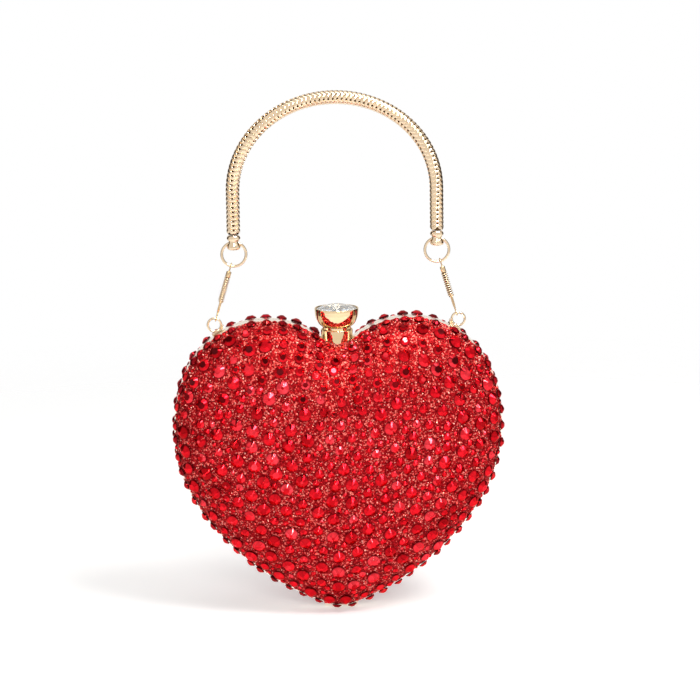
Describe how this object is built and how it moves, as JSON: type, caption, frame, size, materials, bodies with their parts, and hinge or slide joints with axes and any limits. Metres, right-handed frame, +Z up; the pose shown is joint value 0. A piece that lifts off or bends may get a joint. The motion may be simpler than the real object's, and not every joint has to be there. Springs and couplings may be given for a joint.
{
  "type": "heart shaped purse",
  "caption": "Rigid heart shaped evening purse covered in red crystals, with a gilt frame, a push clasp in the cleft and a chain handle on rings and hooks.",
  "frame": {"origin": "underside of the chain at the top of the handle, where a finger or a peg carries the purse", "axes": "+Z up, +X to the wearer's right seen from the front, front of the case towards -Y"},
  "size_m": [0.1557, 0.0538, 0.2438],
  "materials": {
    "gilt": "pale polished gilt plating",
    "steel": "plain nickel plated steel",
    "shell": "moulded shell under red resin",
    "lining": "padded satin",
    "red_crystal": "cut and foiled red crystal",
    "clear_crystal": "cut clear crystal"
  },
  "bodies": {
    "handle": {"handle_chain": "gilt", "left_end_cap": "gilt", "right_end_cap": "gilt"},
    "left_ring": {"left_ring": "gilt"},
    "right_ring": {"right_ring": "gilt"},
    "left_hook": {"left_hook": "gilt", "left_hook_coil": "gilt"},
    "right_hook": {"right_hook": "gilt", "right_hook_coil": "gilt"},
    "case": {"rear_shell": "shell", "rear_frame": "gilt", "rear_lining": "lining", "rear_knuckles": "gilt", "hinge_pin": "steel", "rear_large_crystals": "red_crystal", "rear_medium_crystals": "red_crystal", "rear_rim_crystals": "red_crystal", "left_lug": "gilt", "right_lug": "gilt", "clasp_base": "gilt"},
    "lid": {"front_shell": "shell", "front_frame": "gilt", "front_lining": "lining", "front_knuckles": "gilt", "catch_tongue": "steel", "front_large_crystals": "red_crystal", "front_medium_crystals": "red_crystal", "front_rim_crystals": "red_crystal"},
    "button": {"clasp_cup": "gilt", "clasp_crystal": "clear_crystal", "clasp_stem": "steel", "clasp_spring": "steel", "latch_bar": "steel"}
  },
  "joints": [
    {"name": "left_ring_swing", "type": "hinge", "parent": "handle", "child": "left_ring", "pos_m": [-0.047, 0, -0.06285], "axis": [1, 0, 0], "range_deg": [-50, 50]},
    {"name": "right_ring_swing", "type": "hinge", "parent": "handle", "child": "right_ring", "pos_m": [0.047, 0, -0.06285], "axis": [1, 0, 0], "range_deg": [-50, 50]},
    {"name": "left_hook_swing", "type": "hinge", "parent": "left_ring", "child": "left_hook", "pos_m": [-0.0486, 0, -0.07382], "axis": [1, 0, 0], "range_deg": [-50, 50]},
    {"name": "right_hook_swing", "type": "hinge", "parent": "right_ring", "child": "right_hook", "pos_m": [0.0486, 0, -0.07382], "axis": [1, 0, 0], "range_deg": [-50, 50]},
    {"name": "case_swing", "type": "hinge", "parent": "left_hook", "child": "case", "pos_m": [-0.05589, 0, -0.09836], "axis": [1, 0, 0], "range_deg": [-40, 40]},
    {"name": "lid_open", "type": "hinge", "parent": "case", "child": "lid", "pos_m": [0, -0.002, -0.23626], "axis": [1, 0, 0], "range_deg": [0, 95]},
    {"name": "button_press", "type": "slide", "parent": "case", "child": "button", "axis": [0, 0, 1], "range_m": [-0.001, 0], "stiffness_N_per_m": 600, "springref_m": 0.001, "deforming": ["clasp_spring"]}
  ],
  "couplings": [
    {"joint": "right_ring_swing", "follows": "left_ring_swing", "ratio": 1},
    {"joint": "right_hook_swing", "follows": "left_hook_swing", "ratio": 1}
  ]
}
